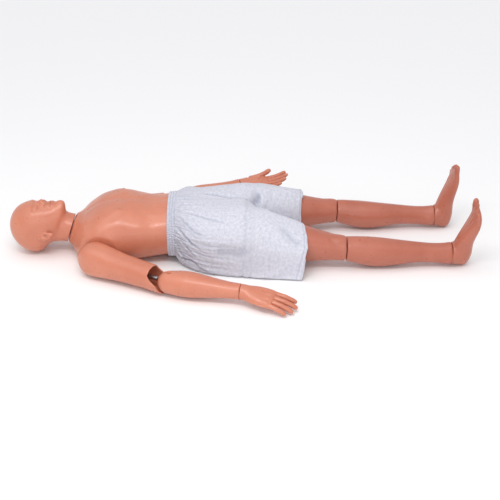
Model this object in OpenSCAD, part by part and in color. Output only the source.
// Rescue training manikin lying on its back: moulded vinyl limbs on steel joints, in jersey shorts.
// Millimetres. The body lies along X with the crown of the head at the low end, the face towards +Z
// and the back on the plane z = 0. The manikin's right side is at low Y.

/* [Head] */
// Length of the head from crown to chin
head_len = 210; // [195:1:225]
// Width of the head above the ears
head_w = 156; // [146:1:166]
// Depth of the head from the brow to the back
head_d = 194; // [184:1:202]
// Height of the nose above the face
nose_h = 17; // [12:1:22]
// Length of an ear
ear_len = 58; // [50:1:66]
// Diameter of the neck at its turning seam
neck_d = 106; // [98:1:112]
// Lean of the neck seam from upright, in degrees
neck_lean = 19; // [14:1:23]

/* [Torso] */
// Distance from the middle of the neck seam to the hip axis
torso_len = 628; // [600:1:660]
// Width of the torso across the shoulders, arms left off
shoulder_w = 340; // [326:1:356]
// Width of the chest below the armpits
chest_w = 320; // [304:1:336]
// Depth of the chest
chest_d = 212; // [204:1:222]
// Width of the waist
waist_w = 286; // [270:1:300]
// Depth of the waist
waist_d = 190; // [180:1:200]
// Width of the pelvis
hip_w = 350; // [338:1:360]
// Depth of the pelvis
hip_d = 194; // [186:1:202]
// Height of the chest muscles above the ribs
chest_muscle = 8; // [5:1:12]

/* [Arms] */
// Distance from the shoulder's turning seam to the middle of the upper arm
deltoid_depth = 29; // [26:1:33]
// Length of the upper arm from shoulder middle to elbow pin
upper_arm_len = 294; // [275:1:315]
// Thickness of the upper arm in its middle
upper_arm_d = 92; // [84:1:100]
// Length of the forearm from elbow pin to wrist seam
forearm_len = 248; // [232:1:262]
// Thickness of the forearm at its widest
forearm_d = 90; // [82:1:96]
// Diameter of the wrist at its turning seam
wrist_d = 54; // [50:1:60]
// Angle of the right upper arm out from the body, in degrees
right_spread = 27; // [22:1:32]
// Angle of the left upper arm out from the body, in degrees
left_spread = 22; // [20:1:32]
// Angle of the forearm in from the upper arm, in degrees
arm_carry = 11.5; // [8:0.5:16]
// Bend of the right elbow as it lies, in degrees
right_bend = 3; // [0:1:20]
// Bend of the left elbow as it lies, in degrees
left_bend = 14; // [0:1:20]
// Length of the open notch above the elbow, from its pin
elbow_gape = 62; // [58:1:70]
// Thickness of the moulded wall at the open elbow
skin_wall = 5; // [4:0.5:7]

/* [Hands] */
// Length of the palm from wrist seam to knuckles
palm_len = 112; // [104:1:118]
// Width of the palm
palm_w = 80; // [74:1:86]
// Thickness of the palm
palm_t = 30; // [26:1:34]
// Length of the middle finger
finger_len = 96; // [88:1:102]
// Thickness of a finger at its root
finger_d = 19; // [17:0.5:21]
// Lean of the right hand towards its little finger, in degrees
right_hand_lean = 8; // [0:1:18]
// Lean of the left hand towards its little finger, in degrees
left_hand_lean = 16; // [0:1:18]
// Turn of the right palm from facing down, in degrees
right_palm_turn = 16; // [0:1:30]
// Turn of the left palm from facing down, in degrees
left_palm_turn = 172; // [150:1:185]

/* [Legs] */
// Distance between the two hip centres
hip_span = 190; // [186:1:200]
// Length of the thigh from hip axis to knee seam
thigh_len = 348; // [330:1:370]
// Thickness of the thigh near the hip
thigh_d = 160; // [152:1:164]
// Length of the shin from knee seam to ankle seam
shin_len = 373; // [352:1:395]
// Thickness of the knee
knee_d = 90; // [84:1:96]
// Thickness of the calf
calf_d = 108; // [100:1:114]
// Diameter of the ankle at its turning seam
ankle_d = 74; // [70:1:80]
// Length of the foot from heel to toe
foot_len = 262; // [248:1:274]
// Width of the foot across the ball
foot_w = 90; // [82:1:96]
// Angle of each thigh out from the body, in degrees
thigh_spread = 8.7; // [7.5:0.1:10]
// Distance from the ankle seam to the sole under the heel
heel_depth = 68; // [62:1:74]
// Angle by which the right foot points down, in degrees
right_foot_point = 4; // [0:1:7]
// Angle by which the left foot points down, in degrees
left_foot_point = 5; // [0:1:7]
// Angle by which the right foot falls outwards, in degrees
right_foot_splay = 12; // [0:1:24]
// Angle by which the left foot falls outwards, in degrees
left_foot_splay = 1; // [0:1:24]

/* [Shorts] */
// Thickness of the cloth
cloth_t = 2.4; // [2:0.2:3.2]
// Width of the elastic waistband along the body
band_w = 26; // [20:1:32]
// Length of a leg of the shorts below the hip axis
short_leg = 201; // [170:1:230]
// Height of the cloth over the top of the thighs
cloth_rise = 24; // [16:1:32]
// Distance that the cloth spreads on the ground beyond the thigh, at the hem
hem_flare = 80; // [60:1:110]
// Number of gathers round the waistband
gathers = 30; // [24:1:36]

/* [Joints] */
// Gap at each turning seam
seam_gap = 1.4; // [1:0.1:2]
// Gap between the two faces of a knee
knee_gap = 2.4; // [2:0.2:3]
// Radial room of a round part that turns in another
turn_fit = 0.05; // [0.03:0.01:0.08]
// Radius of the studs that the neck and shoulders turn on
big_stud_r = 8; // [7:0.5:9]
// Radius of the studs that the wrists and ankles turn on
small_stud_r = 5; // [4:0.5:6]
// Radius of the elbow pin
elbow_pin_r = 4; // [3:0.5:5]
// Radius of the rod that leads to the elbow
elbow_rod_r = 8; // [6:0.5:9]
// Thickness of the flat eye on the elbow rod
elbow_eye_t = 5; // [4:0.5:6]
// Radius of the hip axle
hip_axle_r = 9; // [8:0.5:11]
// Thickness of the knee hinge leaves
leaf_t = 3; // [2.5:0.5:4]
// Radius of the knee hinge pin
knee_pin_r = 2.5; // [2:0.5:3]

/* [Hidden] */
$fn = 48;
skin = [0.85, 0.53, 0.44];
steel = [0.75, 0.76, 0.78];
nylon = [0.93, 0.93, 0.90];
jersey = [0.83, 0.84, 0.89];
far = 600;          // larger than any single part, for cutting tools

// Where the joints lie, measured along X from the crown
seam_x = 1.045 * head_len;
seam_z = 0.46 * head_d;
hip_x = seam_x + torso_len;
hip_z = 0.5 * hip_d;
shoulder_x = seam_x + 0.165 * torso_len;
shoulder_z = 0.29 * chest_d;
shoulder_y = 0.462 * shoulder_w;
deltoid_y = shoulder_y + seam_gap + deltoid_depth;
elbow_z = 0.5 * upper_arm_d;
arm_drop = asin((shoulder_z - elbow_z) / upper_arm_len);
knee_z = 0.64 * calf_d;
thigh_drop = asin((hip_z - knee_z) / thigh_len);
shin_drop = 3.3;
cap_r = 0.60 * upper_arm_d;       // radius of the flat disc where an arm meets the torso
hip_drum_r = 0.5 * thigh_d + 2;   // round top of the thigh, centred on the hip axis
ball_r = 0.415 * upper_arm_d;     // round top of the forearm, centred on the elbow pin
crotch_w = hip_span - thigh_d - 4;
rest_x = seam_x + 0.30 * torso_len;   // the frame's origin lies under this point of the back

// Cubic curve through the rows of a table whose first column rises
function row_slope(t, i) =
    let (a = max(0, i - 1), b = min(len(t) - 1, i + 1)) (t[b] - t[a]) / (t[b][0] - t[a][0]);
function row_span(t, x, i = 0) = i >= len(t) - 2 || x < t[i + 1][0] ? i : row_span(t, x, i + 1);
function row_at(t, x) =
    let (i = row_span(t, x), p = t[i], q = t[i + 1], h = q[0] - p[0], u = (x - p[0]) / h)
    p * (2 * u^3 - 3 * u^2 + 1) + row_slope(t, i) * h * (u^3 - 2 * u^2 + u)
    + q * (3 * u^2 - 2 * u^3) + row_slope(t, i + 1) * h * (u^3 - u^2);
function steps(a, b, n) = [for (i = [0 : n]) a + (b - a) * i / n];
function sum(v, i = 0) = i >= len(v) ? 0 : v[i] + sum(v, i + 1);
function bend_power(v, e) = sign(v) * pow(abs(v), e);

// A section is [x, y, z, half width, height above, depth below, squareness, narrowing of the top, lean].
// Angles run from +Y through +Z.
function section_point(s, a) =
    let (c = cos(a), q = sin(a),
         dy = s[3] * (1 - s[7] * max(0, q)) * bend_power(c, 2 / s[6]),
         dz = (q > 0 ? s[4] : s[5]) * bend_power(q, 2 / s[6]))
    [s[0] + s[8] * dz, s[1] + dy, s[2] + dz];

// A swelling is [x, angle, reach towards low x, reach towards high x, reach in degrees, height]
function turn_between(a, b) = let (d = abs(a - b) % 360) min(d, 360 - d);
function swell(list, x, a) =
    sum([for (b = list)
        let (along = (x - b[0]) / (x < b[0] ? b[2] : b[3]), round = turn_between(a, b[1]) / b[4])
        b[5] * exp(-along^2 - round^2)]);
function ring(s, angles, swells = []) =
    [for (a = angles)
        let (p = section_point(s, a), r = [0, p.y - s[1], p.z - s[2]])
        p + r / max(norm(r), 0.01) * swell(swells, p.x, a)];
function even_angles(n) = [for (i = [0 : n - 1]) 360 * i / n];
limb_angles = even_angles(20);
// Angles that crowd together at the front of the body
function front_angles(n) =
    [for (i = [0 : n - 1]) let (u = 2 * i / n - 1) 90 + 180 * sign(u) * pow(abs(u), 1.5)];
function table_rings(t, xs, angles, swells = []) = [for (x = xs) ring(row_at(t, x), angles, swells)];
// Rings of a round end that closes the section s towards low x
function dome_rings(s, r, n, angles) =
    [for (k = [0 : n - 1])
        let (q = 90 * (k + 0.35) / n, m = sin(q))
        ring([s[0] - r * cos(q), s[1], s[2], s[3] * m, s[4] * m, s[5] * m, s[6], s[7], 0], angles)];

// A closed skin through rings of equal length
module loft(rings) {
    n = len(rings[0]);
    m = len(rings);
    sides = [for (j = [0 : m - 2], i = [0 : n - 1])
        let (a = j * n + i, b = j * n + (i + 1) % n) each [[a, a + n, b + n], [a, b + n, b]]];
    low_end = [for (i = [0 : n - 1]) i];
    high_end = [for (i = [n - 1 : -1 : 0]) (m - 1) * n + i];
    polyhedron(points = [for (r = rings) each r], faces = concat(sides, [low_end, high_end]), convexity = 8);
}
module along_x(r, x0, x1) translate([x0, 0, 0]) rotate([0, 90, 0]) cylinder(r = r, h = x1 - x0);
module along_y(r, y0, y1) translate([0, y0, 0]) rotate([-90, 0, 0]) cylinder(r = r, h = y1 - y0);

// Places: each puts its children in a joint's own frame, drawn for the right side
module placed() translate([-rest_x, 0, 0]) children();
module side_of(left) mirror([0, left ? 1 : 0, 0]) children();
module at_neck() translate([seam_x, 0, seam_z]) rotate([0, neck_lean, 0]) children();
module at_shoulder(left)
    side_of(left) translate([shoulder_x, -shoulder_y, shoulder_z]) rotate([0, 0, -90])
        children();
module at_upper_arm(left)
    side_of(left) translate([shoulder_x, -deltoid_y, shoulder_z])
        rotate([0, arm_drop, -(left ? left_spread : right_spread)])
            children();
module at_elbow(left)
    at_upper_arm(left) translate([upper_arm_len, 0, 0]) rotate([0, -(left ? left_bend : right_bend), 0])
        children();
module at_forearm(left) at_elbow(left) rotate([0, 0, arm_carry]) children();
module at_wrist(left)
    at_forearm(left) translate([forearm_len, 0, 0])
        rotate([left ? left_palm_turn : right_palm_turn, 0, 0])
            children();
module at_hip(left) side_of(left) translate([hip_x, -hip_span / 2, hip_z]) children();
module at_thigh(left) at_hip(left) rotate([0, thigh_drop, 0]) children();
module at_knee(left)
    at_thigh(left) translate([thigh_len, -thigh_len * tan(thigh_spread), 0])
        rotate([0, shin_drop - thigh_drop, 0])
            children();
module at_ankle(left)
    at_knee(left) translate([knee_gap + shin_len, 0, shin_sink]) rotate([0, -shin_drop, 0]) children();

// Head
head_rows = [
    [0.000, 0, 0.540, 0.10, 0.05, 0.05, 2.0, 0, 0],
    [0.020, 0, 0.540, 0.40, 0.15, 0.16, 2.0, 0, 0],
    [0.067, 0, 0.535, 0.65, 0.26, 0.28, 2.0, 0, 0],
    [0.143, 0, 0.530, 0.84, 0.36, 0.39, 2.1, 0, 0],
    [0.248, 0, 0.520, 0.95, 0.435, 0.47, 2.1, 0, 0],
    [0.357, 0, 0.515, 1.00, 0.475, 0.51, 2.15, 0, 0],
    [0.452, 0, 0.515, 0.98, 0.465, 0.511, 2.2, 0.02, 0.03],
    [0.548, 0, 0.520, 0.93, 0.455, 0.50, 2.2, 0.06, 0.09],
    [0.643, 0, 0.530, 0.87, 0.450, 0.455, 2.15, 0.14, 0.18],
    [0.724, 0, 0.545, 0.81, 0.453, 0.40, 2.1, 0.24, 0.27],
    [0.786, 0, 0.552, 0.755, 0.455, 0.375, 2.0, 0.33, 0.34],
    [0.822, 0, 0.545, 0.715, 0.430, 0.355, 2.0, 0.36, 0.36]];
function head_section(r) =
    [r[0] * head_len, 0, r[2] * head_d, r[3] * head_w / 2, r[4] * head_d, r[5] * head_d, r[6], r[7], r[8]];
neck_lean_run = tan(neck_lean);
neck_up = neck_d / 2 * cos(neck_lean);
neck_end = seam_x - seam_gap / cos(neck_lean);
function neck_row(x, z, w, up, down, narrow = 0, lean = neck_lean_run) =
    [x, 0, z, w * neck_d, up * neck_up, down * neck_up, 2, narrow, lean];
neck_rows = [
    neck_row(0.845 * head_len, 0.510 * head_d, 0.495, 1.38, 1.22, 0.24, 0.37),
    neck_row(0.872 * head_len, 0.490 * head_d, 0.490, 1.16, 1.10, 0.06),
    neck_row(0.930 * head_len, 0.478 * head_d, 0.492, 1.02, 1.03),
    neck_row(neck_end, seam_z, 0.5, 1, 1)];
head_table = concat([for (r = head_rows) head_section(r)], neck_rows);
// Face, as swellings of the smooth head: brow, bridge, eye hollows, lids, nose, cheeks, lips and chin
face = [
    [0.405 * head_len, 90, 9, 8, 24, 2.5], [0.462 * head_len, 90, 6, 7, 8, -3.5],
    [0.480 * head_len, 68, 8, 9, 9, -6], [0.480 * head_len, 112, 8, 9, 9, -6],
    [0.492 * head_len, 69, 6, 7, 6.5, 4.5], [0.492 * head_len, 111, 6, 7, 6.5, 4.5],
    [0.588 * head_len, 90, 17, 6, 6, nose_h], [0.605 * head_len, 82, 7, 5, 4, nose_h * 0.42],
    [0.605 * head_len, 98, 7, 5, 4, nose_h * 0.42],
    [0.560 * head_len, 50, 16, 16, 13, 3], [0.560 * head_len, 130, 16, 16, 13, 3],
    [0.728 * head_len, 90, 9, 9, 15, 4.5], [0.800 * head_len, 90, 5, 6, 14, -2.5],
    [0.890 * head_len, 90, 11, 9, 15, 4]];
head_angles = front_angles(28);
head_stations = [for (u = concat([0.004, 0.02, 0.06, 0.12, 0.19, 0.27, 0.34, 0.39], steps(0.42, 0.80, 19),
                                 [0.82, 0.835, 0.85, 0.872, 0.93])) u * head_len];
module head_skin()
    loft(table_rings(head_table, concat(head_stations, [neck_end]), head_angles, face));
module ear() {
    rows = [[-0.5, 0, 0, 0.02, 0.06, 0.06],
            [-0.42, 0, 0.02, 0.10, 0.17, 0.16],
            [-0.2, 0.02, 0, 0.13, 0.26, 0.27],
            [0.1, 0.02, 0, 0.12, 0.25, 0.24],
            [0.35, 0, 0.03, 0.09, 0.17, 0.14],
            [0.5, -0.02, 0.04, 0.03, 0.07, 0.06]];
    loft([for (r = rows) ring([for (i = [0 : 5]) r[i] * ear_len, 2.2, 0, 0], even_angles(10))]);
}
module ears()
    for (left = [false, true])
        side_of(left)
            translate([0.655 * head_len, -0.478 * head_w, 0.475 * head_d])
                rotate([-24, -16, -5]) mirror([0, 1, 0]) ear();
module head()
    color(skin) difference() {
        union() {
            head_skin();
            ears();
        }
        at_neck() rotate([0, 180, 0]) turning_bore(big_stud_r);
    }

// Studs: each is screwed into one part and turns in a bush that sits in the next. Drawn along X from
// the seam, with the bush at high x.
function bush_r(r) = 1.7 * r;
function bush_len(r) = 3.6 * r;
function stud_head_r(r) = 1.6 * r;
function stud_head_t(r) = 1.1 * r;
function stud_hold(r) = 5 * r;
module fixed_bore(r) along_x(r, -stud_hold(r), 1);
module turning_bore(r) {
    along_x(bush_r(r), -1, seam_gap + bush_len(r));
    along_x(bush_r(r) + 1, seam_gap + bush_len(r), seam_gap + bush_len(r) + stud_head_t(r) + 2);
}
module stud(r)
    color(steel) {
        along_x(r, -stud_hold(r), seam_gap + bush_len(r) + 0.5);
        translate([seam_gap + bush_len(r) + 0.3, 0, 0]) along_x(stud_head_r(r), 0, stud_head_t(r));
    }
module bush(r)
    color(nylon) difference() {
        along_x(bush_r(r), seam_gap, seam_gap + bush_len(r));
        along_x(r + turn_fit, 0, far);
    }

// Torso
function body_row(u, w, d, low, sq, lean = 0) =
    [seam_x + u * torso_len, 0, low + d * 0.46, w / 2, d * 0.54, d * 0.46, sq, 0, lean];
torso_table = [
    [seam_x, 0, seam_z, neck_d / 2, neck_up, neck_up, 2, 0, neck_lean_run],
    [seam_x + 0.022 * torso_len, 0, seam_z, neck_d * 0.57, neck_up * 1.08, neck_up * 1.22, 2, 0, 0.33],
    body_row(0.050, shoulder_w * 0.66, chest_d * 0.65, 14, 2.1, 0.24),
    body_row(0.082, shoulder_w * 0.88, chest_d * 0.74, 6, 2.2, 0.15),
    body_row(0.125, shoulder_w * 0.985, chest_d * 0.83, 1, 2.35, 0.08),
    body_row(0.175, shoulder_w, chest_d * 0.91, -2, 2.5),
    body_row(0.240, shoulder_w * 0.55 + chest_w * 0.45, chest_d * 0.97, -3, 2.5),
    body_row(0.320, chest_w, chest_d * 0.985, -3, 2.45),
    body_row(0.400, chest_w * 0.975, chest_d * 0.945, -1, 2.4),
    body_row(0.480, chest_w * 0.45 + waist_w * 0.5, chest_d * 0.89, 3, 2.35),
    body_row(0.570, waist_w, waist_d, 9, 2.3),
    body_row(0.660, waist_w * 0.55 + hip_w * 0.45, waist_d, 7, 2.35),
    body_row(0.760, waist_w * 0.15 + hip_w * 0.85, hip_d * 0.98, 5, 2.6),
    body_row(0.870, hip_w * 0.99, hip_d * 0.95, 4.5, 2.9),
    body_row(0.960, hip_w * 0.95, hip_d * 0.88, 6, 2.9),
    body_row(1.010, hip_w * 0.86, hip_d * 0.76, 12, 2.4),
    body_row(1.045, hip_w * 0.55, hip_d * 0.52, 26, 2.2)];
// Chest muscles, breast bone, nipples, belly, navel, hip bones and shoulder blades
function torso_x(u) = seam_x + u * torso_len;
chest_form = [
    [torso_x(0.315), 57, 62, 24, 22, chest_muscle], [torso_x(0.315), 123, 62, 24, 22, chest_muscle],
    [torso_x(0.300), 90, 60, 30, 9, -chest_muscle * 0.35],
    [torso_x(0.405), 38, 22, 34, 18, chest_muscle * 0.4],
    [torso_x(0.405), 142, 22, 34, 18, chest_muscle * 0.4],
    [torso_x(0.600), 90, 60, 70, 30, 4],
    [torso_x(0.700), 40, 30, 30, 14, 3], [torso_x(0.700), 140, 30, 30, 14, 3],
    [torso_x(0.545), 270, 110, 90, 9, -4]];
torso_stations = concat([0.0, 0.012, 0.022, 0.036, 0.050, 0.066, 0.082, 0.104],
                        steps(0.13, 1.01, 21), [1.03, 1.045]);
module torso_skin()
    loft(table_rings(torso_table, [for (u = torso_stations) torso_x(u)], front_angles(28), chest_form));
// The round recess that an arm swings in, drawn about the swing axis from the seam outwards
recess_r = cap_r + 7;
recess_slope = min(left_spread, right_spread) - 5;
module arm_recess()
    rotate([0, 90, 0]) rotate_extrude()
        polygon([[0, 0], [recess_r, 0], [recess_r + far / 4, far / 4 * tan(recess_slope)],
                 [recess_r + far / 4, far], [0, far]]);
// Room for a thigh and its swing: round the hip axis, and clear in front of and below it
thigh_inner = (hip_span - crotch_w) / 2;
module thigh_room(left)
    at_hip(left) {
        along_y(hip_drum_r + 2, -far / 2, thigh_inner);
        translate([-hip_drum_r - 2, -far / 2, 0]) cube([far, far / 2 + thigh_inner, far]);
        translate([-hip_drum_r * 0.45, -far / 2, -far / 2]) cube([far, far / 2 + thigh_inner, far]);
    }
module torso()
    color(skin) difference() {
        torso_skin();
        translate([0, -far / 2, -far]) cube([3 * far, far, far]);
        at_neck() fixed_bore_neck();
        for (left = [false, true]) {
            at_shoulder(left) arm_recess();
            at_shoulder(left) fixed_bore(big_stud_r);
            thigh_room(left);
        }
        translate([hip_x, 0, hip_z]) along_y(hip_axle_r, -crotch_w, crotch_w);
    }
module fixed_bore_neck() rotate([0, 180, 0]) fixed_bore(big_stud_r);

// Upper arm, from the middle of the shoulder along +X
function arm_row(u, w, up, down, sq = 2.1) =
    [u * upper_arm_len, 0, 0, w * upper_arm_d, up * upper_arm_d, down * upper_arm_d, sq, 0, 0];
upper_arm_table = [
    arm_row(0.00, 0.57, 0.66, 0.61, 2.7),
    arm_row(0.12, 0.575, 0.64, 0.60, 2.4),
    arm_row(0.25, 0.545, 0.58, 0.56, 2.2),
    arm_row(0.40, 0.52, 0.525, 0.515),
    arm_row(0.60, 0.495, 0.495, 0.49),
    arm_row(0.80, 0.475, 0.46, 0.475),
    arm_row(1.00, 0.475, 0.455, 0.475),
    arm_row(1.10, 0.475, 0.455, 0.475)];
module upper_arm_skin()
    loft(concat(dome_rings(upper_arm_table[0], 0.68 * upper_arm_d, 4, limb_angles),
                table_rings(upper_arm_table, steps(0, 1.04, 9) * upper_arm_len, limb_angles)));
cavity_x = 0.66 * upper_arm_len;
module upper_arm_cavity()
    loft([for (x = steps(cavity_x, 1.10 * upper_arm_len, 4))
        let (s = row_at(upper_arm_table, x), wall = skin_wall * [0, 0, 0, 1, 1, 1, 0, 0, 0])
        ring(s - wall, limb_angles)]);
// The open mouth that lets the forearm fold up: a round seat, cut back above it and open below
module elbow_mouth()
    translate([upper_arm_len, 0, 0]) {
        along_y(ball_r + 2, -far / 2, far / 2);
        rotate([90, 0, 0]) translate([0, 0, -far / 2]) linear_extrude(far)
            polygon([[-ball_r - 1.5, -0.08 * upper_arm_d], [-elbow_gape, 0.24 * upper_arm_d],
                     [-elbow_gape, upper_arm_d], [far, upper_arm_d], [far, -upper_arm_d],
                     [-0.7 * ball_r, -upper_arm_d], [-0.7 * ball_r, -0.08 * upper_arm_d]]);
    }
module upper_arm(left)
    color(skin) difference() {
        at_upper_arm(left) difference() {
            upper_arm_skin();
            upper_arm_cavity();
            elbow_mouth();
            along_x(elbow_rod_r, 0.4 * upper_arm_len, upper_arm_len);
        }
        at_shoulder(left) translate([seam_gap - far, -far, -far]) cube([far, 2 * far, 2 * far]);
        at_shoulder(left) turning_bore(big_stud_r);
    }
module elbow_link(left)
    color(steel) at_upper_arm(left) difference() {
        union() {
            along_x(elbow_rod_r, 0.4 * upper_arm_len, upper_arm_len - ball_r - 4);
            translate([upper_arm_len - ball_r - 14, -elbow_eye_t / 2, -elbow_rod_r + 0.5])
                cube([ball_r + 14, elbow_eye_t, 2 * elbow_rod_r - 1]);
            translate([upper_arm_len, 0, 0]) along_y(elbow_pin_r + 6, -elbow_eye_t / 2, elbow_eye_t / 2);
        }
        translate([upper_arm_len, 0, 0]) along_y(elbow_pin_r + turn_fit, -far / 2, far / 2);
    }

// Forearm, from the elbow pin along +X
function forearm_row(u, w, up, down, sq = 2.1) =
    [u * forearm_len, 0, 0, w * forearm_d, up * forearm_d, down * forearm_d, sq, 0, 0];
wrist_share = wrist_d / 2 / forearm_d;
forearm_table = [
    [0, 0, 0, ball_r * 1.06, ball_r, ball_r, 2.0, 0, 0],
    forearm_row(0.10, 0.475, 0.465, 0.455),
    forearm_row(0.25, 0.51, 0.50, 0.47),
    forearm_row(0.40, 0.485, 0.47, 0.44),
    forearm_row(0.58, 0.41, 0.39, 0.375),
    forearm_row(0.77, 0.345, 0.325, 0.32),
    forearm_row(0.92, wrist_share * 1.04, wrist_share * 0.98, wrist_share * 0.98, 2),
    forearm_row(1.00, wrist_share * 1.03, wrist_share * 1.03, wrist_share * 1.03, 2)];
module forearm_skin()
    loft(concat(dome_rings(forearm_table[0], ball_r, 4, limb_angles),
                table_rings(forearm_table, steps(0, 1, 9) * forearm_len, limb_angles)));
fold_max = 94;      // how far an elbow folds from the straight arm, in degrees
// The slot in the forearm's round top that the flat eye of the link sweeps as the elbow folds
module elbow_slot()
    rotate([90, 0, 0]) translate([0, 0, -elbow_eye_t / 2 - 0.5]) linear_extrude(elbow_eye_t + 1) {
        circle(elbow_pin_r + 7.5);
        polygon(concat([[0, -elbow_rod_r - 1]],
                       [for (a = steps(180 + 24, 180 - fold_max - 14, 8)) 1.3 * ball_r * [cos(a), sin(a)]],
                       [[elbow_rod_r + 1, 0]]));
    }
module forearm(left)
    color(skin) difference() {
        at_forearm(left) forearm_skin();
        at_elbow(left) elbow_slot();
        at_elbow(left) along_y(elbow_pin_r, -0.78 * ball_r, 0.78 * ball_r);
        at_forearm(left) translate([forearm_len, 0, 0]) fixed_bore(small_stud_r);
    }
module elbow_pin(left)
    color(steel) at_elbow(left) along_y(elbow_pin_r, -0.78 * ball_r, 0.78 * ball_r);

// Hand, palm down, from the wrist seam along +X with the thumb at high Y
hand_rows = [
    [seam_gap, 0, 0, wrist_d / 2, wrist_d / 2, wrist_d / 2, 2, 0, 0],
    [0.14 * palm_len, 0, 0, wrist_d * 0.51, wrist_d * 0.46, wrist_d * 0.45, 2, 0, 0],
    [0.36 * palm_len, 1, 0, palm_w * 0.43, palm_t * 0.60, palm_t * 0.62, 2.3, 0, 0],
    [0.62 * palm_len, 0, 0, palm_w * 0.49, palm_t * 0.52, palm_t * 0.56, 2.5, 0, 0],
    [0.90 * palm_len, -1, -1, palm_w * 0.49, palm_t * 0.44, palm_t * 0.46, 2.6, 0, 0],
    [1.02 * palm_len, -1, -2, palm_w * 0.42, palm_t * 0.30, palm_t * 0.30, 2.6, 0, 0]];
module wrist_stub()
    loft([for (x = [seam_gap, 0.16 * palm_len, 0.3 * palm_len])
        let (r = wrist_d * (0.5 - 0.0025 * x))
        ring([x, -0.02 * x, 0, wrist_d * 0.5, r, r, 2, 0, 0], even_angles(16))]);
module palm()
    loft(table_rings(hand_rows, concat([seam_gap, 0.07 * palm_len], steps(0.14, 1.02, 7) * palm_len),
                     even_angles(16)));
// A finger: rings carried along its bones, each step turned down from the last
curl = 4.2;
function bone_path(at, yaw, dip, bones, i = 0) =
    let (along = [cos(yaw) * cos(dip), sin(yaw) * cos(dip), -sin(dip)])
    i >= len(bones) ? [concat(at, [dip])]
    : concat([concat(at, [dip])], bone_path(at + bones[i] * along, yaw, dip + curl, bones, i + 1));
function finger_ring(p, yaw, r) =
    [for (a = even_angles(8))
        let (side = [-sin(yaw), cos(yaw), 0], up = [cos(yaw) * sin(p[3]), sin(yaw) * sin(p[3]), cos(p[3])])
        [p[0], p[1], p[2]] + r * (cos(a) * side + 0.94 * sin(a) * up)];
module finger(at, yaw, dip, length, r) {
    bones = length * [0.10, 0.36, 0.06, 0.20, 0.06, 0.14, 0.06, 0.02];
    path = bone_path(at, yaw, dip, bones);
    width = [1.02, 1.0, 0.93, 0.98, 0.90, 0.92, 0.82, 0.55, 0.25];
    loft([for (i = [0 : len(bones)]) finger_ring(path[i], yaw, r * width[i])]);
}
finger_rows = [[0.335, 3, 0.90, 0.98], [0.11, 0.5, 1.0, 1.0], [-0.115, -2.5, 0.93, 0.96],
               [-0.335, -6, 0.74, 0.86]];
module fingers() {
    for (f = finger_rows)
        finger([palm_len * 0.90, f[0] * palm_w, -1], f[1], 6, f[2] * finger_len, f[3] * finger_d / 2);
    finger([palm_len * 0.34, 0.36 * palm_w, -0.20 * palm_t], 11, 6, 0.95 * finger_len,
           0.60 * finger_d);
}
module hand(left)
    color(skin) at_wrist(left) difference() {
        union() {
            wrist_stub();
            rotate([0, 0, -(left ? left_hand_lean : right_hand_lean)]) {
                palm();
                fingers();
            }
        }
        translate([seam_gap - far, -far / 2, -far / 2]) cube(far);
        turning_bore(small_stud_r);
    }

// Thigh, from the hip axis along +X
function thigh_row(u, w, up, down, sq = 2.1) =
    [u * thigh_len, -u * thigh_len * tan(thigh_spread), 0, w, up, down, sq, 0, 0];
mid_thigh = thigh_d * 0.25 + knee_d * 0.30;
thigh_table = [
    [0, 0, 0, thigh_d * 0.49, hip_drum_r, hip_drum_r, 2.6, 0, 0],
    thigh_row(0.12, thigh_d * 0.50, thigh_d * 0.505, thigh_d * 0.51, 2.4),
    thigh_row(0.30, thigh_d * 0.48, thigh_d * 0.48, thigh_d * 0.49, 2.2),
    thigh_row(0.55, mid_thigh + knee_d * 0.02, mid_thigh, mid_thigh),
    thigh_row(0.80, knee_d * 0.58, knee_d * 0.56, knee_d * 0.545),
    thigh_row(0.93, knee_d * 0.525, knee_d * 0.51, knee_d * 0.47),
    thigh_row(1.00, knee_d * 0.51, knee_d * 0.49, knee_d * 0.46),
    thigh_row(1.03, knee_d * 0.51, knee_d * 0.49, knee_d * 0.46)];
function drum_ring(k, n) =
    let (q = 90 * (k + 0.35) / n, m = sin(q), s = thigh_table[0])
    [-hip_drum_r * cos(q), 0, 0, s[3] * (0.86 + 0.14 * m), s[4] * m, s[5] * m, 2.6, 0, 0];
module thigh_skin()
    loft(concat([for (k = [0 : 4]) ring(drum_ring(k, 5), limb_angles)],
                table_rings(thigh_table, concat(steps(0, 1, 8), [1.02]) * thigh_len, limb_angles)));
hip_bush_len = 44;
nut_t = hip_axle_r;
module thigh(left)
    color(skin) difference() {
        at_thigh(left) thigh_skin();
        at_hip(left) hip_bore();
        at_knee(left) upper_knee_cuts();
    }
// Hip axle room: the bush, then a pocket for the nut
hip_seat_y = thigh_inner - 3;
module hip_bore() {
    along_y(1.6 * hip_axle_r, hip_seat_y - hip_bush_len, far / 2);
    along_y(1.6 * hip_axle_r + 3, hip_seat_y - hip_bush_len - 16, hip_seat_y - hip_bush_len);
}
module hip_bush(left)
    color(nylon) at_hip(left) difference() {
        along_y(1.6 * hip_axle_r, hip_seat_y - hip_bush_len, hip_seat_y - 4);
        along_y(hip_axle_r + turn_fit, -far / 2, far / 2);
    }
axle_end = hip_span / 2 - hip_seat_y + hip_bush_len + 10;
module hip_axle() color(steel) translate([hip_x, 0, hip_z]) along_y(hip_axle_r, -axle_end, axle_end);
module hip_nut(left)
    color(steel) at_hip(left) difference() {
        translate([0, hip_seat_y - hip_bush_len - 0.6 - nut_t, 0]) rotate([-90, 0, 0])
            cylinder(r = 1.55 * hip_axle_r, h = nut_t, $fn = 6);
        along_y(hip_axle_r, -far / 2, far / 2);
    }

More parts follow.
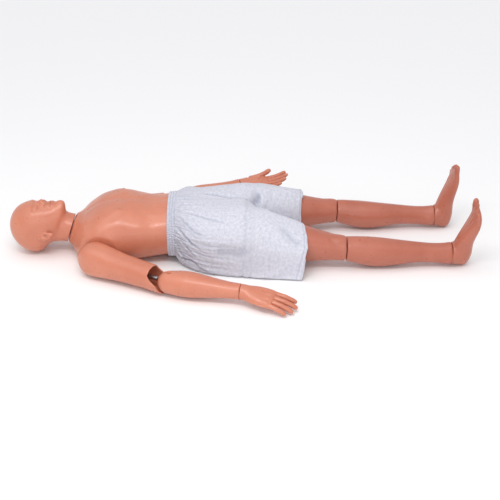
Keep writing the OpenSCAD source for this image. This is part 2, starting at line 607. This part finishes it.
// Knee: a leaf hinge whose pin lies just inside the back of the knee
knee_back = 0.46 * knee_d - 9;         // from the knee's middle down to the pin
barrel_r = knee_pin_r + 2.5;
leaf_w = 0.50 * knee_d;
leaf_h = 0.50 * knee_d;
notch = 50;                            // each side's relief behind the pin, in degrees
module at_knee_pin() translate([knee_gap / 2, 0, -knee_back]) children();
module knee_relief(direction)
    at_knee_pin() rotate([90, 0, 0]) translate([0, 0, -far / 2]) linear_extrude(far)
        polygon([[0, 1], [direction * knee_d * sin(notch), -knee_d * cos(notch)],
                 [direction * knee_d * sin(notch), -knee_d], [0, -knee_d]]);
module barrel_room() at_knee_pin() along_y(barrel_r + 0.6, -leaf_w / 2 - 0.6, leaf_w / 2 + 0.6);
module leaf_plate(over = 0) translate([-over, -leaf_w / 2, -knee_back]) cube([leaf_t + over, leaf_w, leaf_h]);
module upper_knee_cuts() {
    knee_relief(-1);
    barrel_room();
    translate([-leaf_t, 0, 0]) leaf_plate();
    translate([0, -far / 2, -far / 2]) cube(far);
}
module lower_knee_cuts() {
    knee_relief(1);
    barrel_room();
    translate([knee_gap, 0, 0]) leaf_plate(1);
}
// Knuckles: the upper leaf has the two outer ones, the lower leaf the middle one
module knuckles(outer) {
    third = leaf_w / 3;
    at_knee_pin()
        for (y = outer ? [-leaf_w / 2, leaf_w / 2 - third + 0.3] : [-third / 2 + 0.3])
            along_y(barrel_r, y, y + third - (outer ? 0.3 : 0.6));
}
module knuckle_room(outer) {
    third = leaf_w / 3;
    at_knee_pin()
        for (y = outer ? [-leaf_w / 2, leaf_w / 2 - third] : [-third / 2])
            along_y(barrel_r + 0.4, y - 0.3, y + third + 0.3);
}
module knee_leaf(left, upper)
    color(steel) at_knee(left) difference() {
        union() {
            difference() {
                translate([upper ? -leaf_t : knee_gap, 0, 0]) leaf_plate();
                knuckle_room(!upper);
            }
            knuckles(upper);
        }
        at_knee_pin() along_y(knee_pin_r + turn_fit, -far / 2, far / 2);
    }
module knee_pin(left)
    color(steel) at_knee(left) at_knee_pin() along_y(knee_pin_r, -leaf_w / 2, leaf_w / 2);

// Shin, from the knee's upper face along +X
shin_sink = 0.5 * ankle_d + 7 + shin_len * sin(shin_drop) - knee_z;
function shin_row(u, y, z, w, up, down, sq = 2.05) =
    [knee_gap + u * shin_len, y, z + shin_sink * u, w, up, down, sq, 0, 0];
shin_table = [
    shin_row(0.00, 0, 0, knee_d * 0.51, knee_d * 0.49, knee_d * 0.46),
    shin_row(0.06, 0, 0, knee_d * 0.525, knee_d * 0.50, knee_d * 0.50),
    shin_row(0.18, 1, -2, calf_d * 0.49, calf_d * 0.44, calf_d * 0.50),
    shin_row(0.32, 2, -3, calf_d * 0.50, calf_d * 0.43, calf_d * 0.53),
    shin_row(0.48, 1, -2, calf_d * 0.44, calf_d * 0.39, calf_d * 0.45),
    shin_row(0.66, 0, 0, calf_d * 0.355, calf_d * 0.345, calf_d * 0.345),
    shin_row(0.82, 0, 0, ankle_d * 0.46, ankle_d * 0.475, ankle_d * 0.47),
    shin_row(0.93, 0, 0, ankle_d * 0.48, ankle_d * 0.51, ankle_d * 0.49),
    shin_row(1.03, 0, 0, ankle_d * 0.50, ankle_d * 0.63, ankle_d * 0.50, 2)];
module shin_skin()
    loft(table_rings(shin_table, [for (u = steps(0, 1.02, 12)) knee_gap + u * shin_len], limb_angles));
module shin(left)
    color(skin) difference() {
        at_knee(left) shin_skin();
        at_knee(left) lower_knee_cuts();
        at_ankle(left) fixed_bore(small_stud_r);
        at_ankle(left) translate([0, -far / 2, -far / 2]) cube(far);
    }

// Foot, from the ankle seam: the heel lies at high x, the toes at high z
heel_z = -0.51 * ankle_d;      // from the ankle's middle down to the back of the heel
foot_rows = [
    [0.000, 0.60, 0.14, 0.02, 0.16, 0.16],
    [0.035, 0.58, 0.30, 0.06, 0.30, 0.30],
    [0.110, 0.57, 0.38, 0.14, 0.38, 0.36],
    [0.230, 0.55, 0.37, 0.22, 0.40, 0.40],
    [0.360, 0.58, 0.36, 0.28, 0.40, 0.30],
    [0.500, 0.66, 0.41, 0.30, 0.34, 0.24],
    [0.640, 0.76, 0.48, 0.30, 0.26, 0.20],
    [0.760, 0.80, 0.50, 0.28, 0.19, 0.17],
    [0.850, 0.76, 0.44, 0.24, 0.13, 0.14],
    [0.900, 0.72, 0.34, 0.20, 0.09, 0.10]];
// Rows hold the share of the foot's length, the middle's place towards the sole, then half width and depths
function foot_ring(r) =
    [for (a = even_angles(16))
        let (c = cos(a), q = sin(a), h = (q > 0 ? r[5] : r[4]) * foot_w)
        [r[1] * heel_depth + h * bend_power(q, 0.9), -foot_w * r[2] * bend_power(c, 0.85),
         heel_z + r[0] * foot_len]];
module foot_body() loft([for (r = foot_rows) foot_ring(r)]);
module toe(y, z, r, length)
    translate([0.76 * heel_depth, y * foot_w, heel_z + z * foot_len]) rotate([0, -97, 0])
        loft([for (k = [[0, 0.9], [0.45, 0.95], [0.75, 1.05], [0.9, 0.9], [1, 0.45]])
            ring([k[0] * length, 0, 0, r * k[1], r * k[1] * 0.9, r * k[1] * 0.9, 2, 0, 0],
                 even_angles(8))]);
toe_rows = [[0.335, 0.80, 0.135, 0.20], [0.115, 0.82, 0.095, 0.165], [-0.07, 0.80, 0.09, 0.155],
            [-0.235, 0.77, 0.085, 0.145], [-0.375, 0.725, 0.085, 0.13]];
module toes() for (t = toe_rows) toe(t[0], t[1], t[2] * foot_w, t[3] * foot_len);
module ankle_stub()
    loft([for (r = ankle_d * [[0, 0.50, 0.60], [0.2, 0.50, 0.70], [0.45, 0.46, 0.72], [0.7, 0.36, 0.56]])
        ring([seam_gap + r[0], 0, 0, r[1], r[2], r[1], 2, 0, 0], even_angles(16))]);
module foot(left)
    color(skin) at_ankle(left) difference() {
        rotate([left ? left_foot_splay : right_foot_splay, 0, 0]) union() {
            rotate([0, left ? left_foot_point : right_foot_point, 0]) {
                foot_body();
                toes();
            }
            ankle_stub();
        }
        translate([seam_gap - far, -far / 2, -far / 2]) cube(far);
        turning_bore(small_stud_r);
    }

// Shorts: a point of the body's surface, moved out by a distance
function cloth_point(s, a, out) =
    let (p = section_point(s, a), r = [0, p.y - s[1], p.z - s[2]])
    p + r / norm(r) * (out + swell(chest_form, p.x, a));
band_x = torso_x(0.56);
shorts_x = band_x + band_w;
floor_gap = 0.6;           // height of the cloth above the ground that the manikin lies on
waist_room = 3.4;          // between the waist and the cloth
function band_ring(u, out, ripple = 0) =
    let (s = row_at(torso_table, band_x + u * band_w))
    [for (a = even_angles(2 * gathers)) cloth_point(s, a, out + ripple * cos(a * gathers))];
module waistband()
    color(jersey) difference() {
        loft([for (u = steps(0, 1, 3)) band_ring(u, cloth_t + 1.5 + 1.2 * sin(180 * u), 0.7)]);
        loft([for (u = [-0.1, 1.1]) band_ring(u, 0.8)]);
    }
// Half cross-sections of the shorts, for the right side. Each row holds its place along the body from the
// band to the hem, then the distances from the middle or the heights of ten points. They run from the front
// middle over the top of the thigh to the ground and on to the back middle. Past the crotch the middle is
// the inside of the leg.
crotch_u = 0.66;
cloth_y = [
    [0.08, 0, 0.14, 0.33, 0.56, 0.80, 0.97, 1.02, 0.68, 0.35, 0],
    [0.18, 0, 0.15, 0.35, 0.60, 0.86, 1.07, 1.15, 0.74, 0.36, 0],
    [0.29, 0, 0.16, 0.38, 0.63, 0.91, 1.14, 1.27, 0.80, 0.38, 0],
    [0.42, 0, 0.17, 0.40, 0.66, 0.94, 1.19, 1.33, 0.83, 0.38, 0],
    [0.60, 0, 0.16, 0.42, 0.69, 0.98, 1.25, 1.42, 0.86, 0.36, 0],
    [crotch_u, 0, 0.15, 0.44, 0.70, 0.99, 1.27, 1.45, 0.86, 0.28, 0],
    [0.75, 0.09, 0.20, 0.48, 0.74, 1.02, 1.30, 1.48, 0.88, 0.31, 0.09],
    [0.86, 0.15, 0.25, 0.52, 0.78, 1.06, 1.34, 1.51, 0.94, 0.38, 0.15],
    [1.00, 0.22, 0.34, 0.61, 0.87, 1.14, 1.40, 1.55, 1.00, 0.46, 0.22]];
cloth_z = [
    [0.08, 1.02, 1.02, 1.01, 0.97, 0.88, 0.70, 0.40, 0.04, 0, 0],
    [0.18, 1.00, 1.00, 0.99, 0.95, 0.85, 0.66, 0.30, 0.02, 0, 0],
    [0.29, 0.98, 0.99, 0.99, 0.96, 0.85, 0.62, 0.24, 0, 0, 0],
    [0.42, 0.96, 0.98, 1.00, 0.98, 0.86, 0.61, 0.20, 0, 0, 0],
    [0.60, 0.82, 0.89, 1.00, 0.98, 0.86, 0.59, 0.17, 0, 0, 0],
    [crotch_u, 0.47, 0.82, 0.98, 0.97, 0.85, 0.58, 0.16, 0, 0.03, 0.30],
    [0.75, 0.43, 0.76, 0.95, 0.93, 0.81, 0.56, 0.14, 0, 0.04, 0.37],
    [0.86, 0.40, 0.71, 0.91, 0.87, 0.74, 0.51, 0.12, 0, 0.05, 0.36],
    [1.00, 0.38, 0.66, 0.82, 0.77, 0.65, 0.43, 0.09, 0, 0.05, 0.35]];
last_row = len(cloth_y) - 1;
out_y = hip_span / 2 + thigh_d / 2;        // outer side of the thigh at the hip
top_z = hip_z + hip_drum_r + cloth_rise;   // top of the cloth at the hip
hem_x = hip_x + short_leg;
hem_y = out_y + short_leg * tan(thigh_spread) + hem_flare;
flare_u = 0.4;                             // where the flare of the hem begins
function flare(u) = 1 + (hem_y / out_y / cloth_y[last_row][7] - 1) * max(0, u - flare_u) / (1 - flare_u);
waist_half =
    [for (a = [90, 77, 64, 50, 34, 15, -15, -48, -70, -90])
        let (p = cloth_point(row_at(torso_table, shorts_x), a, cloth_t + waist_room))
        [abs(a) == 90 ? 0 : p.y, p.z]];
function cloth_half(i) =
    i < 0 ? waist_half
    : [for (k = [1 : 10])
        [cloth_y[i][k] * out_y * flare(cloth_y[i][0]), floor_gap + cloth_z[i][k] * (top_z - floor_gap)]];
function smooth_half(i) =
    let (v = cloth_half(i), n = len(v) - 1, t = [for (k = [0 : n]) concat([k], v[k])])
    [for (k = steps(0, n, 2 * n)) let (p = row_at(t, k)) [p[1], max(p[2], floor_gap)]];
// The same half, the cloth's thickness further in; an open one reaches across the middle
function inner_half(v, open) =
    let (n = len(v) - 1)
    [for (k = [0 : n])
        let (a = v[k > 0 ? k - 1 : open ? 0 : n], b = v[k < n ? k + 1 : open ? n : 0],
             d = (b - a) / norm(b - a), p = v[k] + cloth_t * [d.y, -d.x],
             q = open && k % n == 0 ? [-1, v[k].y + (k == 0 ? -1 : 1) * cloth_t] : p)
        [q.x, max(q.y, floor_gap + cloth_t)]];
function row_x(i) = shorts_x + (i < 0 ? 0 : cloth_y[i][0]) * (hem_x - shorts_x);
function half_ring(x, v) = [for (p = v) [x, -p.x, p.y]];
module shorts(left)
    color(jersey) side_of(left) difference() {
        loft([for (i = [-1 : last_row]) half_ring(row_x(i), smooth_half(i))]);
        loft([for (i = [-2 : last_row + 1])
            let (r = min(max(i, -1), last_row), open = r < 0 || cloth_y[r][0] < crotch_u)
            half_ring(row_x(r) + (i < -1 ? -1 : i > last_row ? 1 : 0), inner_half(smooth_half(r), open))]);
    }

placed() head();
placed() at_neck() rotate([0, 180, 0]) stud(big_stud_r);  // neck_stud
placed() at_neck() rotate([0, 180, 0]) bush(big_stud_r);  // neck_bush
placed() torso();
placed() upper_arm(false);  // upper_arm_right
placed() forearm(false);  // forearm_right
placed() hand(false);  // hand_right
placed() at_shoulder(false) stud(big_stud_r);  // shoulder_stud_right
placed() at_shoulder(false) bush(big_stud_r);  // shoulder_bush_right
placed() elbow_link(false);  // elbow_link_right
placed() elbow_pin(false);  // elbow_pin_right
placed() at_wrist(false) stud(small_stud_r);  // wrist_stud_right
placed() at_wrist(false) bush(small_stud_r);  // wrist_bush_right
placed() upper_arm(true);  // upper_arm_left
placed() forearm(true);  // forearm_left
placed() hand(true);  // hand_left
placed() at_shoulder(true) stud(big_stud_r);  // shoulder_stud_left
placed() at_shoulder(true) bush(big_stud_r);  // shoulder_bush_left
placed() elbow_link(true);  // elbow_link_left
placed() elbow_pin(true);  // elbow_pin_left
placed() at_wrist(true) stud(small_stud_r);  // wrist_stud_left
placed() at_wrist(true) bush(small_stud_r);  // wrist_bush_left
placed() hip_axle();
placed() hip_nut(false);  // hip_nut_right
placed() hip_nut(true);  // hip_nut_left
placed() thigh(false);  // thigh_right
placed() shin(false);  // shin_right
placed() foot(false);  // foot_right
placed() hip_bush(false);  // hip_bush_right
placed() knee_leaf(false, true);  // knee_leaf_upper_right
placed() knee_leaf(false, false);  // knee_leaf_lower_right
placed() knee_pin(false);  // knee_pin_right
placed() at_ankle(false) stud(small_stud_r);  // ankle_stud_right
placed() at_ankle(false) bush(small_stud_r);  // ankle_bush_right
placed() thigh(true);  // thigh_left
placed() shin(true);  // shin_left
placed() foot(true);  // foot_left
placed() hip_bush(true);  // hip_bush_left
placed() knee_leaf(true, true);  // knee_leaf_upper_left
placed() knee_leaf(true, false);  // knee_leaf_lower_left
placed() knee_pin(true);  // knee_pin_left
placed() at_ankle(true) stud(small_stud_r);  // ankle_stud_left
placed() at_ankle(true) bush(small_stud_r);  // ankle_bush_left
placed() waistband();
placed() shorts(false);  // shorts_right
placed() shorts(true);  // shorts_left
